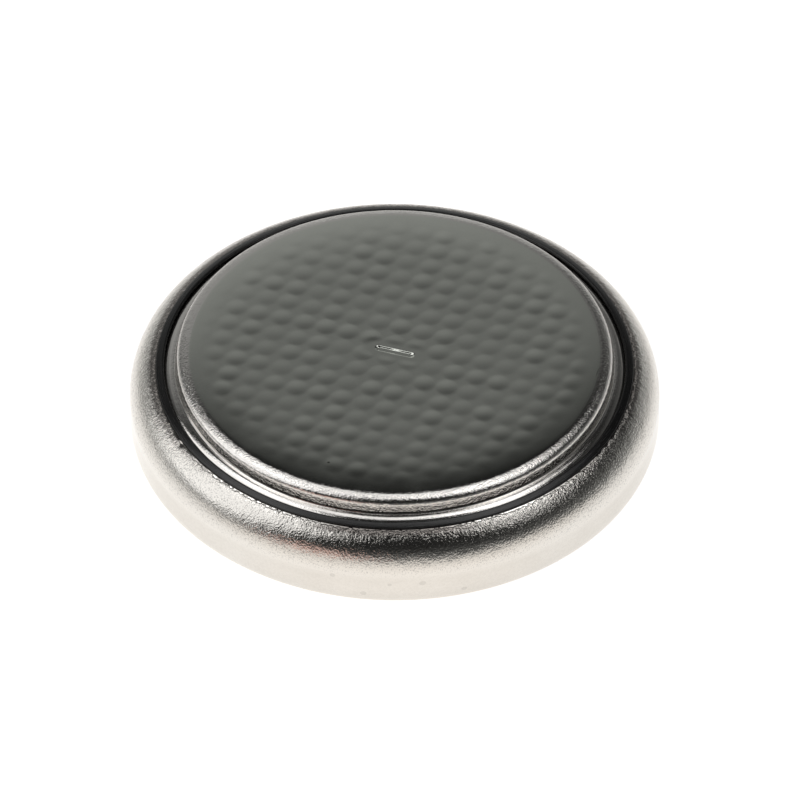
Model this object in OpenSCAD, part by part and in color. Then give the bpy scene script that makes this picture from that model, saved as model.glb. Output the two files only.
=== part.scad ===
// Lithium coin cell with a crimped can, stepped cap, sealing gasket and the
// stack of discs inside. Millimetres, +Z up, origin at the centre of the base.

/* [Overall size] */
// Outside diameter of the cell
cell_d = 24.4; // [20:0.1:30]
// Overall height of the cell
cell_h = 4.8; // [4:0.1:8]

/* [Positive can] */
// Thickness of the can's sheet
can_t = 0.25; // [0.15:0.01:0.3]
// Outside radius of the can's bottom corner
can_corner_r = 1.0; // [0.5:0.05:1.3]
// Outside radius of the crimp at the top of the can's wall
crimp_r = 1.73; // [1.5:0.01:1.9]
// Angle through which the crimp turns inward
crimp_angle = 70; // [60:1:75]
// Drop from the top of the cell to the lip of the crimp
lip_drop = 0.97; // [0.9:0.01:1.1]

/* [Negative cap] */
// Thickness of the cap's sheet
cap_t = 0.25; // [0.15:0.01:0.3]
// Radial distance from the lip of the can in to the cap's wall
rim_w = 0.96; // [0.9:0.01:1.3]
// Outside radius of the gentle brow around the cap's flat face
brow_r = 0.8; // [0.5:0.1:2]
// Angle through which the brow turns down
brow_turn = 24; // [10:1:30]
// Outside radius of the shoulder between the brow and the cap's wall
shoulder_r = 0.3; // [0.28:0.01:0.6]
// Draft of the cap's wall, which widens toward its foot
wall_draft = 8; // [0:1:12]
// Drop from the cap's face to its ledge
ledge_drop = 0.83; // [0.8:0.01:1]
// Radius of the fillet between the cap's wall and its ledge
foot_r = 0.05; // [0.02:0.01:0.06]
// Outside radius of the bend that forms the ledge and turns down into the skirt
bend_r = 0.7; // [0.4:0.01:0.72]
// Height of the folded edge at the foot of the skirt
hem_h = 1.6; // [0.8:0.1:1.8]
// Gap inside the folded edge
hem_gap = 0.1; // [0.04:0.01:0.2]

/* [Polarity mark] */
// Length of the minus sign struck into the cap
mark_l = 1.8; // [1:0.1:4]
// Width of the minus sign
mark_w = 0.3; // [0.2:0.05:0.6]
// Depth of the minus sign
mark_depth = 0.06; // [0.02:0.01:0.1]
// Turn of the minus sign about the cell's axis
mark_turn = -18; // [-90:1:90]

/* [Sealing gasket] */
// Thickness of gasket pinched between the can's lip and the cap's bend
pinch_t = 0.18; // [0.1:0.01:0.2]
// Thickness of gasket under the cap's skirt
gasket_base_t = 0.35; // [0.2:0.05:0.5]
// Thickness of the gasket's inner wall, inside the skirt
gasket_lip_t = 0.35; // [0.2:0.05:0.5]
// Height of the gasket's inner wall above the foot of the skirt
gasket_lip_h = 0.7; // [0.3:0.1:1.2]
// Angle on the cap's bend at which the gasket's bead starts
bead_angle = 50; // [45:5:60]
// Height of the bead above the cap's ledge
bead_rise = 0.05; // [0.03:0.01:0.12]
// Rounding of the bead's top edge
bead_round = 0.08; // [0.04:0.01:0.1]

/* [Stack of discs] */
// Thickness of the cathode ring's sheet and of the collector inside it
ring_t = 0.15; // [0.1:0.01:0.2]
// Width of the cathode ring's flange
flange_w = 1.4; // [0.8:0.1:2]
// Height of the cathode ring
ring_h = 2.1; // [1:0.1:2.4]
// Radial clearance between the cathode ring and the gasket
ring_clear = 0.25; // [0.1:0.05:0.4]
// Radial clearance between discs and what surrounds them
disc_clear = 0.03; // [0.02:0.01:0.1]
// Thickness of the lithium disc
lithium_t = 1.15; // [0.8:0.05:1.3]
// Radial gap from the lithium disc's edge out to the start of the cap's brow
lithium_gap = 0.05; // [0.02:0.01:0.5]
// Thickness of the separator membrane
separator_t = 0.05; // [0.03:0.01:0.1]
// Thickness of the electrolyte absorber
absorber_t = 0.25; // [0.1:0.05:0.4]
// Overhang of the separator and the absorber past the cathode ring
overhang = 0.2; // [0.1:0.05:0.3]
// Length of a diamond opening in the collector
opening_l = 2.0; // [1.5:0.1:2.4]
// Width of a diamond opening in the collector
opening_w = 1.1; // [0.8:0.1:1.3]
// Width of the strands between openings, along each row
strand_w = 0.6; // [0.4:0.1:0.8]

/* [Hidden] */
$fn = 128;
arc_step = 5;    // degrees between the points of an arc
cut = 0.01;      // overshoot of a cutter past the face that it cuts

can_r = cell_d / 2;
lip_z = cell_h - lip_drop;
wall_top = lip_z - crimp_r * sin(crimp_angle);
crimp_c = [can_r - crimp_r, wall_top];
lip_dir = [cos(crimp_angle), sin(crimp_angle)];
lip_out = crimp_c + crimp_r * lip_dir;
lip_in = crimp_c + (crimp_r - can_t) * lip_dir;

// The cap's bend lies pinch_t inside the can's lip, so the skirt follows the can.
cap_r = lip_out[0] - rim_w;
ledge_z = cell_h - ledge_drop;
bend_z = ledge_z - bend_r;
bend_x = lip_in[0] - sqrt(pow(bend_r + pinch_t, 2) - pow(lip_in[1] - bend_z, 2));
skirt_r = bend_x + bend_r;
foot_c = [cap_r + foot_r, ledge_z + foot_r];
shoulder_z = cell_h - brow_r + (brow_r - shoulder_r) * cos(brow_turn);
wall_reach = (shoulder_r + foot_r + (shoulder_z - foot_c[1]) * sin(wall_draft)) / cos(wall_draft);
shoulder_c = [foot_c[0] - wall_reach, shoulder_z];
brow_c = shoulder_c - (brow_r - shoulder_r) * [sin(brow_turn), cos(brow_turn)];
skirt_z = can_t + gasket_base_t;
hem_c = [skirt_r + hem_gap / 2, skirt_z + hem_gap / 2 + cap_t];
hem_top = skirt_z + hem_h;
hem_r = skirt_r + hem_gap + cap_t;

// A bend is its centre, its radius on the outer and on the inner side of the
// sheet, and the angles at which it starts and ends.
can_bends = [
    [[can_r - can_corner_r, can_corner_r], can_corner_r, can_corner_r - can_t, -90, 0],
    [crimp_c, crimp_r, crimp_r - can_t, 0, crimp_angle]];
cap_bends = [
    [brow_c, brow_r, brow_r - cap_t, 90, 90 - brow_turn],
    [shoulder_c, shoulder_r, shoulder_r - cap_t, 90 - brow_turn, wall_draft],
    [foot_c, foot_r, foot_r + cap_t, 180 + wall_draft, 270],
    [[bend_x, bend_z], bend_r, bend_r - cap_t, 90, bead_angle],
    [[bend_x, bend_z], bend_r, bend_r - cap_t, bead_angle, 0],
    [hem_c, hem_gap / 2, hem_gap / 2 + cap_t, 180, 360]];

// The bead's slope runs from its rounded inner edge down to the lip's end face.
bead_r = bend_x + bend_r * cos(bead_angle);
bead_c = [bead_r + bead_round, ledge_z + bead_rise - bead_round];
bead_foot = lip_in + 0.8 * (lip_out - lip_in);
bead_slope = atan2(bead_foot[1] - bead_c[1], bead_foot[0] - bead_c[0]) + 90;
gasket_r = skirt_r - cap_t - gasket_lip_t;

stack_z = can_t + ring_t;
lithium_z = cell_h - cap_t - lithium_t;
lithium_r = brow_c[0] - lithium_gap;
separator_z = lithium_z - separator_t;
absorber_z = separator_z - absorber_t;
ring_r = gasket_r - ring_clear;
pellet_r = ring_r - ring_t - disc_clear;
collector_r = ring_r - flange_w - disc_clear;

function arc(c, r, a0, a1) =
    let (n = max(1, ceil(abs(a1 - a0) / arc_step)))
    [for (i = [0:n]) let (a = a0 + (a1 - a0) * i / n) c + r * [cos(a), sin(a)]];

// The points of a sheet's outer (1) or inner (2) side, in order along the sheet
function side(bends, which) = [for (b = bends) each arc(b[0], b[which], b[3], b[4])];

function reversed(points) = [for (i = [len(points) - 1:-1:0]) points[i]];

module disc(r, z, t) {
    translate([0, 0, z]) cylinder(r = r, h = t);
}

// Deep-drawn steel cup, crimped inward over the gasket
module positive_can() {
    color("gainsboro")
    rotate_extrude()
    polygon(concat([[0, 0]], side(can_bends, 1), reversed(side(can_bends, 2)), [[0, can_t]]));
}

// Stepped steel cap with a folded edge and a minus sign struck into its face
module negative_cap() {
    hem_end = [[skirt_r + hem_gap, hem_top], [hem_r, hem_top]];
    color("silver")
    difference() {
        rotate_extrude()
        polygon(concat([[0, cell_h]], side(cap_bends, 1), hem_end, reversed(side(cap_bends, 2)),
                       [[0, cell_h - cap_t]]));
        translate([0, 0, cell_h - mark_depth]) rotate(mark_turn) minus_sign(mark_depth + cut);
    }
}

module minus_sign(h) {
    half = (mark_l - mark_w) / 2;
    linear_extrude(h) {
        square([2 * half, mark_w], center = true);
        for (x = [-half, half]) translate([x, 0]) circle(d = mark_w);
    }
}

// Moulded ring that fills the space between the can and the cap's skirt
module sealing_gasket() {
    color("black")
    rotate_extrude()
    polygon(concat(
        [[gasket_r, can_t]],
        side(can_bends, 2),
        [bead_foot],
        arc(bead_c, bead_round, bead_slope, 180),
        side([cap_bends[4]], 1),
        [[skirt_r, hem_top], [hem_r, hem_top]],
        arc(hem_c, hem_gap / 2 + cap_t, 0, -180),
        [[skirt_r - cap_t, skirt_z + gasket_lip_h], [gasket_r, skirt_z + gasket_lip_h]]));
}

// Lithium foil disc, pressed against the inside of the cap
module lithium_anode() {
    color("lightsteelblue") disc(lithium_r, lithium_z, lithium_t);
}

// Microporous membrane under the lithium
module separator() {
    color("white") disc(ring_r + overhang, separator_z, separator_t);
}

// Non-woven disc that holds the electrolyte
module electrolyte_absorber() {
    color("ivory") disc(ring_r + overhang, absorber_z, absorber_t);
}

// Pressed manganese dioxide tablet, seated in the cathode ring
module cathode_pellet() {
    color("dimgray") disc(pellet_r, stack_z, absorber_z - stack_z);
}

// L-section steel ring around the tablet, with its flange on the can's floor
module cathode_ring() {
    color("lightgray")
    rotate_extrude()
    polygon([[ring_r - flange_w, can_t], [ring_r, can_t], [ring_r, can_t + ring_h],
             [ring_r - ring_t, can_t + ring_h], [ring_r - ring_t, stack_z],
             [ring_r - flange_w, stack_z]]);
}

// Expanded metal disc that joins the tablet to the can's floor
module current_collector() {
    pitch_x = opening_l + strand_w;
    pitch_y = opening_w + strand_w * opening_w / opening_l;
    columns = ceil(collector_r / pitch_x);
    rows = ceil(collector_r / pitch_y);
    color("darkgray")
    translate([0, 0, can_t])
    linear_extrude(ring_t)
    difference() {
        circle(r = collector_r);
        for (i = [-columns:columns], j = [-rows:rows], shift = [0, 0.5]) {
            place = [(i + shift) * pitch_x, (j + shift) * pitch_y];
            if (norm(place) + opening_l / 2 < collector_r - strand_w / 2)
                translate(place) diamond();
        }
    }
}

module diamond() {
    polygon([[opening_l / 2, 0], [0, opening_w / 2], [-opening_l / 2, 0], [0, -opening_w / 2]]);
}

positive_can();
negative_cap();
sealing_gasket();
lithium_anode();
separator();
electrolyte_absorber();
cathode_pellet();
cathode_ring();
current_collector();
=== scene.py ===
"""Looks of a lithium coin cell: nickel-plated can and cap, black gasket, and the discs inside."""
import math

import bpy
import numpy as np
from mathutils import Matrix, Vector, noise


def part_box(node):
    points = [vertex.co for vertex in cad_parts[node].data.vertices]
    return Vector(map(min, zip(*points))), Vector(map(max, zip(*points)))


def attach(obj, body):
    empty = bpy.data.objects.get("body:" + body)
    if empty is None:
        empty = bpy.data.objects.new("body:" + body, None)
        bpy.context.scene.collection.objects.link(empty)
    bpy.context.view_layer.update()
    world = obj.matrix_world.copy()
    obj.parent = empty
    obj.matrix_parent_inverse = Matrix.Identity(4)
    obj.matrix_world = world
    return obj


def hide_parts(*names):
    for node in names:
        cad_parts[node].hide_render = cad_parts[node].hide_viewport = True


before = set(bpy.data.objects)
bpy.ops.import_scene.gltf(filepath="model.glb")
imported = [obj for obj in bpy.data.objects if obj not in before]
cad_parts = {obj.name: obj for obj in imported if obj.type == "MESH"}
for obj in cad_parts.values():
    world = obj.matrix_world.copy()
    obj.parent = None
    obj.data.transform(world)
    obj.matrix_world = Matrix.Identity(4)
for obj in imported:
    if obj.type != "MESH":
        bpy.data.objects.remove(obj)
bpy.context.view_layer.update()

MM = 0.001

# ---------------------------------------------------------------- sizes, from the frame where it holds them
CAN_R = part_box("positive_can")[1].x
LIP_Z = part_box("positive_can")[1].z
TOP_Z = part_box("negative_cap")[1].z
SKIRT_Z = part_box("negative_cap")[0].z
HEM_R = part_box("negative_cap")[1].x
BEAD_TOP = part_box("sealing_gasket")[1].z

SHEET = 0.25 * MM
CORNER_R = 1.0 * MM
CRIMP_R = 1.73 * MM
CRIMP_TURN = 70
# The lip is drawn 3 degrees further over than the CAD's, to match how far in its bright edge shows.
LIP_TURN = 73
BROW_R = 0.8 * MM
BROW_TURN = 24
SHOULDER_R = 0.3 * MM
WALL_DRAFT = 8
LEDGE_DROP = 0.83 * MM
FOOT_R = 0.05 * MM
BEND_R = 0.7 * MM
RIM_W = 0.96 * MM
HEM_GAP = 0.1 * MM
HEM_H = 1.6 * MM
GASKET_WALL = 0.35 * MM
GASKET_LIP_H = 0.7 * MM
BEAD_ANGLE = 50
RIM_ROUND = 0.035 * MM
BEAD_ROUND = 0.08 * MM
EDGE_R = 0.04 * MM

MARK_L = 1.8 * MM
MARK_W = 0.3 * MM
MARK_DEPTH = 0.06 * MM
ROW_TURN = math.radians(-18)
DOT_PITCH = 1.085 * MM
DOT_ORIGIN = (-0.39 * MM, -0.41 * MM)
DOT_R = 0.54 * MM
DOT_H = 0.0052 * MM
DOT_SHIFT = 0.04 * MM
DOT_UNEVEN = 0.45
DOT_SEED = 7
DOT_FIELD = 9.2 * MM
CROWN_SLOPE = 0.07

CAN_SEGMENTS = 640
CAP_SEGMENTS = 480


# ---------------------------------------------------------------- mesh helpers
def arc(centre, radius, start, end, step):
    """Points of an arc in the (radius, height) plane; angles in degrees."""
    count = max(2, math.ceil(abs(end - start) / step))
    angles = np.radians(np.linspace(start, end, count + 1))
    return np.column_stack([centre[0] + radius * np.cos(angles), centre[1] + radius * np.sin(angles)])


def run(start, end, step):
    """Evenly spaced points from start to end, both included."""
    start, end = np.array(start), np.array(end)
    count = max(1, math.ceil(np.linalg.norm(end - start) / step))
    return start + (end - start) * np.linspace(0, 1, count + 1)[:, None]


def joined(*stretches):
    """One outline from stretches, with repeated points left out."""
    points = np.vstack(stretches)
    keep = [0] + [i for i in range(1, len(points)) if np.linalg.norm(points[i] - points[i - 1]) > 1e-7]
    return points[keep]


def lathe(name, outline, segments, shape=None, closed=False):
    """A turned piece. The outline runs from axis to axis, or is a closed loop off the axis.
    shape(x, y, r, z, s) gives each point's radial and upward offset; s is its length along the outline."""
    length = np.concatenate([[0], np.cumsum(np.linalg.norm(np.diff(outline, axis=0), axis=1))])
    poles = [] if closed else [0, len(outline) - 1]
    rings = [i for i in range(len(outline)) if i not in poles]
    turn = np.linspace(0, 2 * math.pi, segments, endpoint=False)
    r = np.repeat(outline[rings, 0], segments)
    z = np.repeat(outline[rings, 1], segments)
    s = np.repeat(length[rings], segments)
    cos, sin = np.tile(np.cos(turn), len(rings)), np.tile(np.sin(turn), len(rings))
    flow = np.column_stack([cos * CAN_R, sin * CAN_R, s])
    if shape:
        dr, dz = shape(r * cos, r * sin, r, z, s)
        r, z = r + dr, z + dz
    vertices = np.column_stack([r * cos, r * sin, z])
    ring = np.arange(segments)
    nxt = (ring + 1) % segments
    pairs = [(k, k + 1) for k in range(len(rings) - 1)] + ([(len(rings) - 1, 0)] if closed else [])
    faces = []
    for a, b in pairs:
        low, high = a * segments, b * segments
        faces += np.column_stack([low + ring, low + nxt, high + nxt, high + ring]).tolist()
    if not closed:
        first, last = len(vertices), len(vertices) + 1
        ends = outline[[0, -1]].copy()
        if shape:
            ends[:, 1] += shape(np.zeros(2), np.zeros(2), np.zeros(2), ends[:, 1], length[[0, -1]])[1]
        vertices = np.vstack([vertices, [0, 0, ends[0, 1]], [0, 0, ends[1, 1]]])
        flow = np.vstack([flow, [0, 0, 0], [0, 0, length[-1]]])
        base = (len(rings) - 1) * segments
        faces += [[first, n, i] for i, n in zip(ring.tolist(), nxt.tolist())]
        faces += [[last, base + i, base + n] for i, n in zip(ring.tolist(), nxt.tolist())]
    mesh = bpy.data.meshes.new(name)
    mesh.from_pydata(vertices.tolist(), [], faces)
    mesh.polygons.foreach_set("use_smooth", [True] * len(mesh.polygons))
    layer = mesh.attributes.new("flow", "FLOAT_VECTOR", "POINT")
    layer.data.foreach_set("vector", flow.astype(np.float32).ravel())
    mesh.update()
    piece = bpy.data.objects.new(name, mesh)
    bpy.context.scene.collection.objects.link(piece)
    return piece


def paint(piece, name, values):
    """A number at each point of the piece, which its material reads by name."""
    layer = piece.data.attributes.new(name, "FLOAT", "POINT")
    layer.data.foreach_set("value", np.asarray(values, np.float32))


def points_of(piece):
    """The piece's points as rows of x, y and z."""
    co = np.zeros(len(piece.data.vertices) * 3)
    piece.data.vertices.foreach_get("co", co)
    return co.reshape(-1, 3)


def ramp(x, low, high):
    """0 below low, 1 above high, smooth between; low may be the larger."""
    t = np.clip((x - low) / (high - low), 0, 1)
    return t * t * (3 - 2 * t)


# ---------------------------------------------------------------- the section of the rim
CRIMP_C = np.array([CAN_R - CRIMP_R, LIP_Z - CRIMP_R * math.sin(math.radians(CRIMP_TURN))])
LIP_DIR = np.array([math.cos(math.radians(LIP_TURN)), math.sin(math.radians(LIP_TURN))])
LIP_OUT = CRIMP_C + CRIMP_R * LIP_DIR
LIP_IN = CRIMP_C + (CRIMP_R - SHEET) * LIP_DIR
CAP_R = CRIMP_C[0] + CRIMP_R * math.cos(math.radians(CRIMP_TURN)) - RIM_W
LEDGE_Z = TOP_Z - LEDGE_DROP
SKIRT_R = HEM_R - SHEET - HEM_GAP
BEND_C = np.array([SKIRT_R - BEND_R, LEDGE_Z - BEND_R])
HEM_C = np.array([SKIRT_R + HEM_GAP / 2, SKIRT_Z + HEM_GAP / 2 + SHEET])
CAN_CORNER = (CAN_R - CORNER_R, CORNER_R)
FOOT_C = np.array([CAP_R + FOOT_R, LEDGE_Z + FOOT_R])
BROW_DIR = np.array([math.sin(math.radians(BROW_TURN)), math.cos(math.radians(BROW_TURN))])
DRAFT_SIN, DRAFT_COS = math.sin(math.radians(WALL_DRAFT)), math.cos(math.radians(WALL_DRAFT))
SHOULDER_Z = TOP_Z - BROW_R + (BROW_R - SHOULDER_R) * BROW_DIR[1]
WALL_REACH = (SHOULDER_R + FOOT_R + (SHOULDER_Z - FOOT_C[1]) * DRAFT_SIN) / DRAFT_COS
SHOULDER_C = np.array([FOOT_C[0] - WALL_REACH, SHOULDER_Z])
BROW_C = SHOULDER_C - (BROW_R - SHOULDER_R) * BROW_DIR

# The nick in the lip at the left.
NICK_TURN = math.radians(208.7)
NICK = (11.1 * MM * math.cos(NICK_TURN), 11.1 * MM * math.sin(NICK_TURN), LIP_Z)
NICK_DEPTH = 0.07 * MM


def fine_noise(x, y, z, size, seed):
    """Smooth noise from -1 to 1 with features of about that size, at each point."""
    offset = Vector((seed * 17.3, seed * 5.1, seed * 9.7))
    return np.array([noise.noise(Vector(p) / size + offset) for p in zip(x, y, z)])


# ---------------------------------------------------------------- pieces
def make_can():
    """The crimped can: wall, rounded crimp with a coarse drawn skin, and a small round on the lip's edge."""
    outside = joined(
        run((0, 0), (CAN_CORNER[0], 0), 1.2 * MM),
        arc(CAN_CORNER, CORNER_R, -90, 0, 7.5),
        run((CAN_R, CORNER_R), (CAN_R, CRIMP_C[1]), 0.3 * MM),
        arc(CRIMP_C, CRIMP_R, 0, LIP_TURN - 2, 2.5),
        lip_round(),
        arc(CRIMP_C, CRIMP_R - SHEET, LIP_TURN, 0, 10),
        run((CAN_R - SHEET, CRIMP_C[1]), (CAN_R - SHEET, CORNER_R), 0.6 * MM),
        arc(CAN_CORNER, CORNER_R - SHEET, 0, -90, 15),
        run((CAN_CORNER[0], SHEET), (0, SHEET), 3 * MM),
    )

    def shape(x, y, r, z, s):
        away_r, away_z = r - CRIMP_C[0], z - CRIMP_C[1]
        out = np.hypot(away_r, away_z)
        on_skin = np.abs(out - CRIMP_R) < 0.03 * MM
        on_crimp = on_skin * ramp(z, CRIMP_C[1] - 0.1 * MM, CRIMP_C[1] + 0.9 * MM)
        lump = np.zeros(len(r))
        some = on_crimp > 0
        lump[some] = (fine_noise(x[some], y[some], z[some], 0.55 * MM, 1) * 0.006 * MM
                      + fine_noise(x[some], y[some], z[some], 0.26 * MM, 2) * 0.003 * MM)
        lump = lump * on_crimp
        from_nick = np.hypot(np.hypot(x - NICK[0], y - NICK[1]), z - NICK[2])
        nick = NICK_DEPTH * ramp(from_nick, 0.2 * MM, 0.03 * MM)
        out = np.maximum(out, 1e-9)
        return lump * away_r / out + 0.4 * nick, lump * away_z / out - nick

    piece = lathe("can_shell", outside, CAN_SEGMENTS, shape)
    co = points_of(piece)
    r = np.hypot(co[:, 0], co[:, 1])
    # Both steels share one recipe, so each piece carries all four numbers even where they are zero.
    paint(piece, "grain", ramp(co[:, 2], CRIMP_C[1] - 0.5 * MM, CRIMP_C[1] + 0.5 * MM))
    paint(piece, "lip", np.clip(1 - (r - LIP_OUT[0]) / (0.7 * MM), 0, 1) * (co[:, 2] > CRIMP_C[1]))
    paint(piece, "turned", np.zeros(len(r)))
    # Painted shade near the lip, laid on as a dark film over the back and sides and at the very front, where
    # the crimp's reflections should look dim.
    lip_shade_back = 0.75 * ramp(co[:, 1], -9 * MM, -1 * MM)
    lip_shade_front = 0.8 * ramp(-co[:, 1], 10.3 * MM, 10.9 * MM)
    paint(piece, "lip_shade", lip_shade_back + lip_shade_front)
    return piece


def lip_round():
    """The can's cut edge, from the outside of the crimp to its inside, with its corner worn round."""
    along = np.array([-LIP_DIR[1], LIP_DIR[0]])
    centre = LIP_OUT - LIP_DIR * EDGE_R - along * EDGE_R
    return joined(arc(centre, EDGE_R, LIP_TURN, LIP_TURN + 90, 15), [LIP_IN])


def face_height(x, y):
    """Height of the cap's face above its plane: fall near the edge, rows of soft dots, minus sign."""
    r = np.hypot(x, y)
    reach = np.linspace(0, CAP_R, 400)
    slope = CROWN_SLOPE * (reach / BROW_C[0]) ** 8 * ramp(reach, SHOULDER_C[0] + 0.1 * MM, BROW_C[0])
    fall = -np.interp(r, reach, np.cumsum(slope) * reach[1])
    cos, sin = math.cos(ROW_TURN), math.sin(ROW_TURN)
    along, across = x * cos + y * sin, -x * sin + y * cos
    start = (DOT_ORIGIN[0] * cos + DOT_ORIGIN[1] * sin, -DOT_ORIGIN[0] * sin + DOT_ORIGIN[1] * cos)
    column = np.round((along - start[0]) / DOT_PITCH).astype(int)
    row = np.round((across - start[1]) / DOT_PITCH).astype(int)
    uneven = np.random.default_rng(DOT_SEED).uniform(-1, 1, (3, 40, 40))[:, column + 20, row + 20]
    a = along - start[0] - column * DOT_PITCH + uneven[0] * DOT_SHIFT
    b = across - start[1] - row * DOT_PITCH + uneven[1] * DOT_SHIFT
    dot = (1 - np.clip(np.hypot(a, b) / DOT_R, 0, 1) ** 2) ** 1.5 * (1 + DOT_UNEVEN * uneven[2])
    near_mark = np.hypot(np.maximum(np.abs(along) - MARK_L / 2, 0), across)
    dots = DOT_H * dot * ramp(r, DOT_FIELD, DOT_FIELD * 0.88) * ramp(near_mark, 0.35 * MM, 0.8 * MM)
    bar = np.hypot(np.maximum(np.abs(along) - (MARK_L - MARK_W) / 2, 0), across)
    sign = -MARK_DEPTH * ramp(bar, MARK_W / 2 + 0.03 * MM, MARK_W / 2 - 0.05 * MM)
    return fall + dots + sign


def make_cap():
    """The stepped cap, with its pressed dots and struck minus sign."""
    wall_side = np.array([DRAFT_COS, DRAFT_SIN])
    outline = joined(
        run((0, TOP_Z), (1.2 * MM, TOP_Z), 0.035 * MM),
        run((1.2 * MM, TOP_Z), (BROW_C[0], TOP_Z), 0.1 * MM),
        arc(BROW_C, BROW_R, 90, 90 - BROW_TURN, 2),
        arc(SHOULDER_C, SHOULDER_R, 90 - BROW_TURN, WALL_DRAFT, 5),
        run(SHOULDER_C + SHOULDER_R * wall_side, FOOT_C - FOOT_R * wall_side, 0.1 * MM),
        arc(FOOT_C, FOOT_R, 180 + WALL_DRAFT, 270, 18),
        run((FOOT_C[0], LEDGE_Z), (BEND_C[0], LEDGE_Z), 0.06 * MM),
        arc(BEND_C, BEND_R, 90, 0, 7.5),
        run((SKIRT_R, BEND_C[1]), (SKIRT_R, HEM_C[1]), 1 * MM),
        arc(HEM_C, HEM_GAP / 2, 180, 360, 45),
        [(SKIRT_R + HEM_GAP, SKIRT_Z + HEM_H), (HEM_R, SKIRT_Z + HEM_H)],
        arc(HEM_C, HEM_GAP / 2 + SHEET, 0, -180, 30),
        run((SKIRT_R - SHEET, HEM_C[1]), (SKIRT_R - SHEET, BEND_C[1]), 1 * MM),
        arc(BEND_C, BEND_R - SHEET, 0, 90, 22.5),
        arc(FOOT_C, FOOT_R + SHEET, 270, 180 + WALL_DRAFT, 22.5),
        arc(SHOULDER_C, SHOULDER_R - SHEET, WALL_DRAFT, 90 - BROW_TURN, 22.5),
        arc(BROW_C, BROW_R - SHEET, 90 - BROW_TURN, 90, 12),
        run((BROW_C[0], TOP_Z - SHEET), (0, TOP_Z - SHEET), 3 * MM),
    )

    def shape(x, y, r, z, s):
        on_top = (s < CAP_R + 0.8 * MM) * ramp(z, LEDGE_Z, SHOULDER_C[1])
        return np.zeros(len(r)), face_height(x, y) * on_top

    piece = lathe("cap_shell", outline, CAP_SEGMENTS, shape)
    co = points_of(piece)
    r = np.hypot(co[:, 0], co[:, 1])
    on_shoulder = ramp(r, BROW_C[0] - 0.15 * MM, BROW_C[0] + 0.2 * MM)
    above_ledge = ramp(co[:, 2], LEDGE_Z + 0.05 * MM, LEDGE_Z + 0.25 * MM)
    paint(piece, "grain", on_shoulder * (0.25 + 0.75 * above_ledge))
    paint(piece, "lip", np.zeros(len(r)))
    paint(piece, "turned", ramp(co[:, 2], LEDGE_Z + 0.1 * MM, LEDGE_Z) * (r > CAP_R))
    paint(piece, "lip_shade", np.zeros(len(r)))
    return piece


def make_gasket():
    """The moulded ring between can and cap; only its bead shows, inside the can's lip."""
    bead_r = BEND_C[0] + BEND_R * math.cos(math.radians(BEAD_ANGLE))
    bead_c = np.array([bead_r + BEAD_ROUND, BEAD_TOP - BEAD_ROUND])
    rim_c = LIP_OUT + np.array([-RIM_ROUND, 0.04 * MM])
    fall = math.degrees(math.atan2(bead_c[1] + BEAD_ROUND - rim_c[1] - RIM_ROUND, rim_c[0] - bead_c[0]))
    skirt_in = SKIRT_R - SHEET
    inner = skirt_in - GASKET_WALL
    outline = joined(
        [(inner, SHEET)],
        arc(CAN_CORNER, CORNER_R - SHEET, -90, 0, 15),
        arc(CRIMP_C, CRIMP_R - SHEET, 0, LIP_TURN, 10),
        arc(rim_c, RIM_ROUND, 0, 90 - fall, 20),
        arc(bead_c, BEAD_ROUND, 90 - fall, 180, 15),
        arc(BEND_C, BEND_R, BEAD_ANGLE, 0, 7.5),
        [(SKIRT_R, SKIRT_Z + HEM_H), (HEM_R, SKIRT_Z + HEM_H)],
        arc(HEM_C, HEM_GAP / 2 + SHEET, 0, -180, 30),
        [(skirt_in, SKIRT_Z + GASKET_LIP_H), (inner, SKIRT_Z + GASKET_LIP_H)],
    )
    return lathe("gasket_ring", outline[::-1], CAP_SEGMENTS, closed=True)


# ---------------------------------------------------------------- materials
# Colour of the painted shade in the hollows of the grain.
PIT_SHADE_COLOUR = (0.2, 0.185, 0.175, 1)
# Colour of the painted shade near the can's lip.
LIP_SHADE_COLOUR = (0.15, 0.13, 0.12, 1)
# Colour of small dark marks.
DARK_MARK_COLOUR = (0.03, 0.028, 0.025, 1)
RAGGED = 0.5


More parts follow.
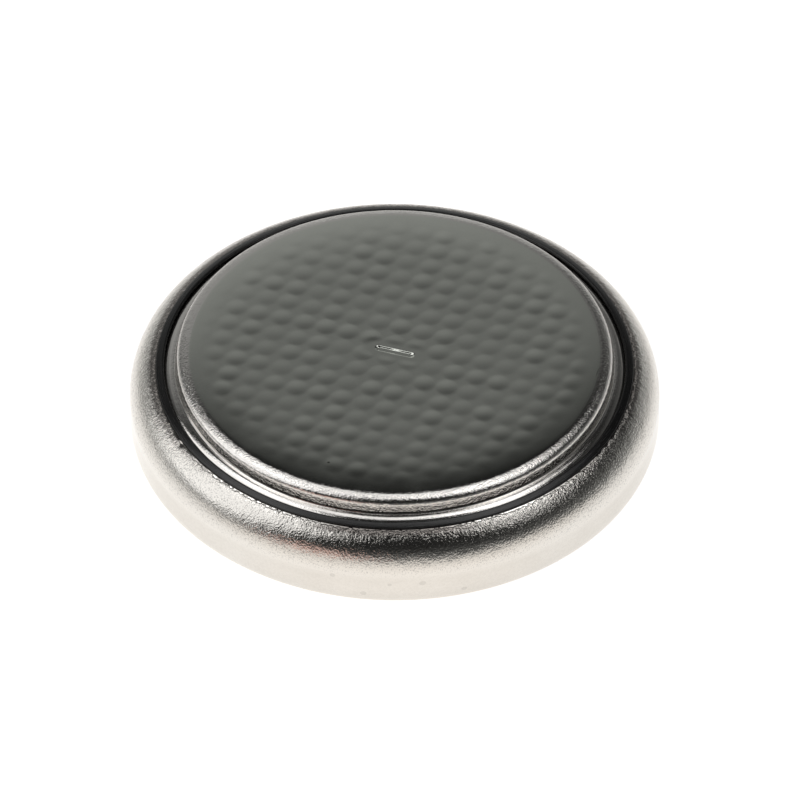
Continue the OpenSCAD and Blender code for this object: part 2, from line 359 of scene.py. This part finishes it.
class Nodes:
    """Short calls for building one material's node tree."""

    def __init__(self, name):
        self.material = bpy.data.materials.new(name)
        self.material.use_nodes = True
        self.tree = self.material.node_tree
        self.shader = self.tree.nodes["Principled BSDF"]

    def add(self, kind, inputs=(), **settings):
        node = self.tree.nodes.new(kind)
        for key, value in settings.items():
            setattr(node, key, value)
        for key, value in dict(inputs).items():
            if isinstance(value, bpy.types.NodeSocket):
                self.tree.links.new(value, node.inputs[key])
            else:
                node.inputs[key].default_value = value
        return node

    def math(self, operation, a, b, clamp=False):
        return self.add("ShaderNodeMath", {0: a, 1: b}, operation=operation, use_clamp=clamp).outputs[0]

    def plus(self, a, b):
        return self.math("ADD", a, b)

    def times(self, a, b):
        return self.math("MULTIPLY", a, b)

    def place(self):
        """The point on the piece, in metres."""
        return self.add("ShaderNodeTexCoord").outputs["Object"]

    def noise(self, where, size, detail=3.0, rough=0.5):
        """Noise from 0 to 1 with features of about size metres."""
        inputs = {"Vector": where, "Scale": 1 / size, "Detail": detail, "Roughness": rough}
        return self.add("ShaderNodeTexNoise", inputs).outputs["Fac"]

    def spread(self, value, low, high, to_low=0.0, to_high=1.0):
        """value carried from the range low to high over to the other range, and held inside it."""
        inputs = {"Value": value, "From Min": low, "From Max": high, "To Min": to_low, "To Max": to_high}
        return self.add("ShaderNodeMapRange", inputs).outputs[0]

    def blend(self, share, a, b):
        """Colour a where share is 0, colour b where it is 1."""
        return self.add("ShaderNodeMix", {0: share, 6: a, 7: b}, data_type="RGBA").outputs[2]

    def stretched(self, scale):
        """The place along the piece's outline and around it, with its axes scaled."""
        return self.add("ShaderNodeMapping", {"Vector": self.vector("flow"), "Scale": scale}).outputs[0]

    def spot(self, where, centre, turn, length, width, tall):
        """1 inside a small ragged oval on the surface, 0 outside; turn in degrees, sizes in metres."""
        moved = self.add("ShaderNodeVectorMath", {0: where, 1: centre}, operation="SUBTRACT").outputs[0]
        rotation = {"Vector": moved, "Angle": -math.radians(turn)}
        turned = self.add("ShaderNodeVectorRotate", rotation, rotation_type="Z_AXIS").outputs[0]
        size = (2 / length, 2 / width, 2 / tall)
        scaled = self.add("ShaderNodeVectorMath", {0: turned, 1: size}, operation="MULTIPLY").outputs[0]
        away = self.add("ShaderNodeVectorMath", {0: scaled}, operation="LENGTH").outputs["Value"]
        edge = self.times(self.noise(where, 0.06 * MM), RAGGED)
        return self.spread(self.plus(away, edge), 0.9 + RAGGED / 2, 1.1 + RAGGED / 2, 1.0, 0.0)

    def value(self, name):
        return self.add("ShaderNodeAttribute", attribute_name=name).outputs["Fac"]

    def vector(self, name):
        return self.add("ShaderNodeAttribute", attribute_name=name).outputs["Vector"]

    def bump(self, height, distance, normal=None):
        inputs = {"Height": height, "Distance": distance, "Strength": 1.0}
        if normal:
            inputs["Normal"] = normal
        return self.add("ShaderNodeBump", inputs).outputs[0]

    def set(self, **inputs):
        for key, value in inputs.items():
            socket = self.shader.inputs[key.replace("_", " ")]
            if isinstance(value, bpy.types.NodeSocket):
                self.tree.links.new(value, socket)
            else:
                socket.default_value = value
        return self.material


def nickel(name, light, dark, drawn, pit_shade, roughness, grain_height, streak_height, dark_marks):
    """Nickel-plated steel: orange-peel grain where the sheet was stretched, satin elsewhere.
    light and dark mottle the flat sheet, drawn is the colour of the stretched metal, and the number after
    drawn is how far painted shade darkens the hollows of its grain. The last argument lists small dark
    marks, in the order that spot takes, then depth."""
    n = Nodes(name)
    where = n.place()

    lip_edge = n.plus(n.value("lip"), n.times(n.noise(where, 0.2 * MM), 0.6))
    not_lip = n.math("SUBTRACT", 1.0, n.spread(lip_edge, 1.1, 1.2))
    rough_part = n.math("MULTIPLY", n.value("grain"), not_lip, clamp=True)
    peel = n.noise(where, 0.085 * MM, 2.0, 0.55)
    lumps = n.noise(where, 0.45 * MM, 2.0, 0.5)
    skin = n.plus(n.times(peel, 0.6), n.times(lumps, 0.4))
    coarse = n.bump(n.times(skin, rough_part), grain_height)
    streaks = n.noise(n.stretched((1, 1, 0.4)), 0.13 * MM, 2.0, 0.55)
    streaked_part = n.times(rough_part, n.spread(n.value("lip"), 0.0, 0.6, 0.35, 1.0))
    streaked = n.bump(n.times(streaks, streaked_part), streak_height, normal=coarse)
    rings = n.noise(n.stretched((0.02, 0.02, 1)), 0.06 * MM, 2.0, 0.6)
    ringed = n.bump(n.times(rings, n.value("turned")), 0.006 * MM, normal=streaked)
    satin = n.bump(n.noise(where, 0.05 * MM, 2.0, 0.6), 0.0004 * MM, normal=ringed)

    cloud = n.spread(n.noise(where, 3 * MM, 3.0, 0.6), 0.3, 0.7)
    speckle = n.spread(n.noise(where, 0.12 * MM, 2.0, 0.5), 0.35, 0.65)
    shade = n.plus(n.times(cloud, 0.6), n.times(speckle, 0.4))
    flat_sheet = n.blend(shade, (*dark, 1), (*light, 1))
    sheet = n.blend(n.spread(n.value("grain"), 0.0, 0.25), flat_sheet, (*drawn, 1))
    # Painted shade: the hollows of the grain darkened in colour, on a noise of their own.
    hollows = n.spread(n.noise(where, 0.07 * MM, 2.0, 0.6), 0.3, 0.48, pit_shade, 0.0)
    sheet = n.blend(n.times(hollows, rough_part), sheet, PIT_SHADE_COLOUR)
    # Painted shade near the can's lip: a dark film, as strong as make_can paints it at each point.
    lip_shade_edge = n.plus(n.value("lip"), n.times(n.noise(where, 0.15 * MM), 0.6))
    lip_shading = n.times(n.spread(lip_shade_edge, 0.75, 0.95), n.value("lip_shade"))
    colour = n.blend(lip_shading, sheet, LIP_SHADE_COLOUR)
    # Small dark marks; on the can the first darkens the nick in the lip almost to black.
    for *mark, depth in dark_marks:
        colour = n.blend(n.times(n.spot(where, *mark), depth), colour, DARK_MARK_COLOUR)

    uneven = n.times(n.plus(cloud, peel), 0.5)
    return n.set(
        Base_Color=colour,
        Metallic=1.0,
        Roughness=n.spread(uneven, 0.3, 0.7, roughness - 0.03, roughness + 0.04),
        Normal=satin,
    )


def gasket_black():
    """Black polymer with fine moulded rings and a little pale dust."""
    n = Nodes("black_polymer")
    lines = n.noise(n.stretched((0.05, 0.05, 1)), 0.05 * MM, 3.0, 0.6)
    dust = n.spread(n.noise(n.place(), 0.3 * MM, 4.0, 0.7), 0.62, 0.8)
    return n.set(
        Base_Color=n.blend(dust, (0.0035, 0.0035, 0.0035, 1), (0.02, 0.019, 0.018, 1)),
        Roughness=n.spread(lines, 0.3, 0.7, 0.2, 0.3),
        Normal=n.bump(lines, 0.004 * MM),
    )


def plain(name, light, dark, size, roughness, metallic=0.0, relief=0.01 * MM):
    """A procedural finish for a piece inside the cell: mottled colour, varied roughness and relief."""
    n = Nodes(name)
    mottle = n.noise(n.place(), size, 5.0, 0.65)
    return n.set(
        Base_Color=n.blend(n.spread(mottle, 0.35, 0.65), (*dark, 1), (*light, 1)),
        Metallic=metallic,
        Roughness=n.spread(mottle, 0.3, 0.7, roughness - 0.08, roughness + 0.08),
        Normal=n.bump(mottle, relief),
    )


def floor_white():
    """A pale floor that glows; the camera sees it overexposed. Its glow is painted light: reflections see it
    dimmer with distance from the cell and behind it, and warmer well in front."""
    n = Nodes("studio_floor")
    where = n.place()
    distance = n.add("ShaderNodeVectorMath", {0: where}, operation="LENGTH").outputs["Value"]
    depth = n.add("ShaderNodeSeparateXYZ", {0: where}).outputs["Y"]
    by_cell = n.spread(distance, 0.0135, 0.024, 0.9, 0.6)
    far_off = n.spread(distance, 0.03, 0.3, 1.0, 0.6)
    behind = n.spread(depth, 0.014, 0.042, 1.0, 0.35)
    in_front = n.spread(depth, -0.016, -0.01, 1.0, 0.0)
    reflected = n.times(n.times(by_cell, far_off), behind)
    seen = n.add("ShaderNodeLightPath").outputs["Is Camera Ray"]
    # Painted light: the floor glows in full to the camera, and in reflections it is brighter near the cell
    # and in front.
    n.tree.links.new(n.math("MAXIMUM", reflected, seen), n.shader.inputs["Emission Strength"])
    return n.set(
        Base_Color=(0.5, 0.495, 0.485, 1),
        Roughness=0.9,
        Emission_Color=n.blend(in_front, (1.0, 0.985, 0.965, 1), (1.02, 0.97, 0.915, 1)),
    )


# ---------------------------------------------------------------- studio
BOX_DISTANCE = 0.5
# The card stands a little left of the middle: x, full half width and faded half width, as directions.
CARD_X = -0.17
CARD_FULL = 0.17
CARD_FADED = 0.4

CAMERA_ELEVATION = 42.55
CAMERA_ROLL = 0.18
CAMERA_DISTANCE = 0.732
SENSOR = 36
# Width of the picture at the cell, and how far its centre lies right of and above the base's centre.
FIELD_W = 36.8998 * MM
AIM_RIGHT = 0.24907 * MM
AIM_UP = 1.30533 * MM


def direction(azimuth, elevation):
    """Unit vector; azimuth 0 is to the right, 90 to the back."""
    a, e = math.radians(azimuth), math.radians(elevation)
    return Vector((math.cos(e) * math.cos(a), math.cos(e) * math.sin(a), math.sin(e)))


def softbox(name, azimuth, elevation, width, height, radiance, colour=(1, 1, 1), turn=0):
    """A rectangular area light, seen in reflections at that brightness; turn tilts its long side."""
    light = bpy.data.lights.new(name, "AREA")
    light.shape = "RECTANGLE"
    light.size, light.size_y = width, height
    light.energy = math.pi * width * height * radiance
    light.color = colour
    box = bpy.data.objects.new(name, light)
    towards = direction(azimuth, elevation)
    box.location = towards * BOX_DISTANCE
    facing = towards.to_track_quat("Z", "Y").to_matrix() @ Matrix.Rotation(math.radians(turn), 3, "Z")
    box.rotation_euler = facing.to_euler()
    bpy.context.scene.collection.objects.link(box)


def sky_ramp(tree, height, stops):
    """Nearly neutral grey against the height of a direction (the sine of its elevation)."""
    ramp_node = tree.nodes.new("ShaderNodeValToRGB")
    tree.links.new(height, ramp_node.inputs[0])
    while len(ramp_node.color_ramp.elements) < len(stops):
        ramp_node.color_ramp.elements.new(0.5)
    for element, (place, value) in zip(ramp_node.color_ramp.elements, stops):
        element.position = place
        element.color = (value * 0.99, value, value * 0.985, 1)
    return ramp_node.outputs[0]


def make_world():
    """Dark room, paler toward the horizon and behind, with a pale card high behind the cell."""
    world = bpy.data.worlds.new("studio")
    bpy.context.scene.world = world
    world.use_nodes = True
    tree = world.node_tree

    def between(value, low, high):
        node = tree.nodes.new("ShaderNodeMapRange")
        node.inputs["From Min"].default_value = low
        node.inputs["From Max"].default_value = high
        tree.links.new(value, node.inputs["Value"])
        return node.outputs[0]

    def mixed(kind, share, a, b):
        node = tree.nodes.new("ShaderNodeMix")
        node.data_type = "RGBA"
        node.blend_type = kind
        for key, value in ((0, share), (6, a), (7, b)):
            tree.links.new(value, node.inputs[key])
        return node.outputs[2]

    def calculated(operation, *values):
        node = tree.nodes.new("ShaderNodeMath")
        node.operation = operation
        for socket, value in zip(node.inputs, values):
            if isinstance(value, bpy.types.NodeSocket):
                tree.links.new(value, socket)
            else:
                socket.default_value = value
        return node.outputs[0]

    where = tree.nodes.new("ShaderNodeTexCoord")
    parts = tree.nodes.new("ShaderNodeSeparateXYZ")
    tree.links.new(where.outputs["Generated"], parts.inputs[0])
    across, back, up = parts.outputs["X"], parts.outputs["Y"], parts.outputs["Z"]
    ahead = sky_ramp(tree, up, [
        (0.0, 0.28), (0.17, 0.16), (0.34, 0.09), (0.5, 0.04), (0.7, 0.02), (1.0, 0.02),
    ])
    behind = sky_ramp(tree, up, [
        (0.0, 0.5), (0.2, 0.46), (0.33, 0.22), (0.45, 0.08), (0.64, 0.06), (0.72, 0.015), (1.0, 0.015),
    ])
    card = sky_ramp(tree, up, [
        (0.3, 0.05), (0.42, 0.22), (0.52, 0.24), (0.6, 0.23), (0.66, 0.165), (0.7, 0.075), (0.75, 0.0),
    ])
    room = mixed("MIX", between(back, -0.2, 0.7), ahead, behind)
    from_card = calculated("ABSOLUTE", calculated("ADD", across, -CARD_X))
    on_card = calculated("MULTIPLY", between(from_card, CARD_FADED, CARD_FULL), between(back, 0.2, 0.5))
    tree.links.new(mixed("ADD", on_card, room, card), tree.nodes["Background"].inputs["Color"])


def make_camera():
    """Looks towards the back and down, from far off with a long lens."""
    elevation = math.radians(CAMERA_ELEVATION)
    data = bpy.data.cameras.new("camera")
    data.sensor_width = SENSOR
    data.lens = CAMERA_DISTANCE * SENSOR / FIELD_W
    data.clip_start, data.clip_end = 0.05, 20
    camera = bpy.data.objects.new("camera", data)
    back = Vector((0, -math.cos(elevation), math.sin(elevation)))
    up = Vector((0, math.sin(elevation), math.cos(elevation)))
    right = Vector((1, 0, 0))
    target = right * AIM_RIGHT + up * AIM_UP
    place = Matrix.Translation(target + back * CAMERA_DISTANCE)
    turn = Matrix((right, up, back)).transposed().to_4x4()
    roll = Matrix.Rotation(math.radians(CAMERA_ROLL), 4, "Z")
    camera.matrix_world = place @ turn @ roll
    bpy.context.scene.collection.objects.link(camera)
    bpy.context.scene.camera = camera


def make_floor():
    """A glowing sheet, 0.02 mm below the can so that the two faces don't lie in one plane. It hides
    the can's base from any view below it."""
    bpy.ops.mesh.primitive_plane_add(size=6, location=(0, 0, -0.02 * MM))
    floor = bpy.context.object
    floor.name = "studio_floor"
    floor.data.materials.append(floor_white())


# ---------------------------------------------------------------- build
def finish_piece(piece, node, material):
    piece.data.materials.append(material)
    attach(piece, "root")
    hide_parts(node)


# Dark marks, as centre, turn, length, width, height and how dark each is. The first is a near-black mark
# over the nick in the lip.
CAN_MARKS = [(NICK, 119, 0.26 * MM, 0.16 * MM, 2 * MM, 0.95)]
# Faint spots on the front of the wall: place along x, height and size in millimetres.
WALL_SPOTS = ((-2.8, 1.85, 0.25), (-1.4, 0.95, 0.3), (-0.2, 1.55, 0.2), (1.3, 1.6, 0.32), (3.2, 0.95, 0.25))
for x, z, size in WALL_SPOTS:
    on_wall = (x * MM, -math.sqrt(CAN_R ** 2 - (x * MM) ** 2), z * MM)
    CAN_MARKS.append((on_wall, 0, size * MM, 1 * MM, 0.8 * size * MM, 0.12))
# A speck and two short scratches near the right edge of the face.
CAP_MARKS = [
    ((-3.0 * MM, -7.5 * MM, TOP_Z), 20, 0.12 * MM, 0.09 * MM, 2 * MM, 0.8),
    ((9.3 * MM, -1.3 * MM, TOP_Z), 75, 0.5 * MM, 0.03 * MM, 2 * MM, 0.5),
    ((9.45 * MM, -1.6 * MM, TOP_Z), 100, 0.35 * MM, 0.03 * MM, 2 * MM, 0.4),
]
can_steel = nickel(
    "can_nickel",
    light=(0.735, 0.71, 0.67),
    dark=(0.67, 0.642, 0.6),
    drawn=(0.755, 0.73, 0.69),
    pit_shade=0.55,
    roughness=0.08,
    grain_height=0.034 * MM,
    streak_height=0.02 * MM,
    dark_marks=CAN_MARKS,
)
cap_steel = nickel(
    "cap_nickel",
    light=(0.735, 0.752, 0.695),
    dark=(0.71, 0.725, 0.67),
    drawn=(0.79, 0.765, 0.735),
    pit_shade=0.3,
    roughness=0.1,
    grain_height=0.028 * MM,
    streak_height=0.01 * MM,
    dark_marks=CAP_MARKS,
)
finish_piece(make_can(), "positive_can", can_steel)
finish_piece(make_cap(), "negative_cap", cap_steel)
finish_piece(make_gasket(), "sealing_gasket", gasket_black())

# Pieces inside the cell keep the CAD's shapes. Each finish has a light and a dark colour, the size of
# its mottle and its roughness.
INSIDE = {
    "lithium_anode": plain("lithium", (0.62, 0.63, 0.66), (0.38, 0.39, 0.42), 0.6 * MM, 0.5, 1.0),
    "separator": plain("membrane", (0.9, 0.9, 0.88), (0.82, 0.82, 0.8), 0.3 * MM, 0.6),
    "electrolyte_absorber": plain(
        "nonwoven", (0.88, 0.87, 0.83), (0.68, 0.67, 0.63), 0.12 * MM, 0.85, relief=0.03 * MM),
    "cathode_pellet": plain(
        "pressed_oxide", (0.075, 0.07, 0.07), (0.03, 0.03, 0.032), 0.2 * MM, 0.8, relief=0.02 * MM),
    "cathode_ring": plain(
        "ring_steel", (0.62, 0.61, 0.6), (0.5, 0.49, 0.48), 0.8 * MM, 0.3, 1.0, 0.004 * MM),
    "current_collector": plain(
        "mesh_steel", (0.6, 0.6, 0.59), (0.45, 0.45, 0.44), 0.4 * MM, 0.35, 1.0, 0.004 * MM),
}
for node, material in INSIDE.items():
    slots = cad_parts[node].data.materials
    if slots:
        slots[0] = material
    else:
        slots.append(material)

make_floor()
make_world()
make_camera()
softbox("left_box", 181, 44, 0.5, 0.58, 1.15)
softbox("right_box", 0, 66, 0.4, 0.14, 1.15, turn=42)
softbox("back_box", 90, 74, 0.5, 0.22, 1.02)
softbox("warm_card", -120, 9, 0.28, 0.09, 0.85, (1.0, 0.6, 0.5))
bpy.context.scene.view_settings.view_transform = "Standard"
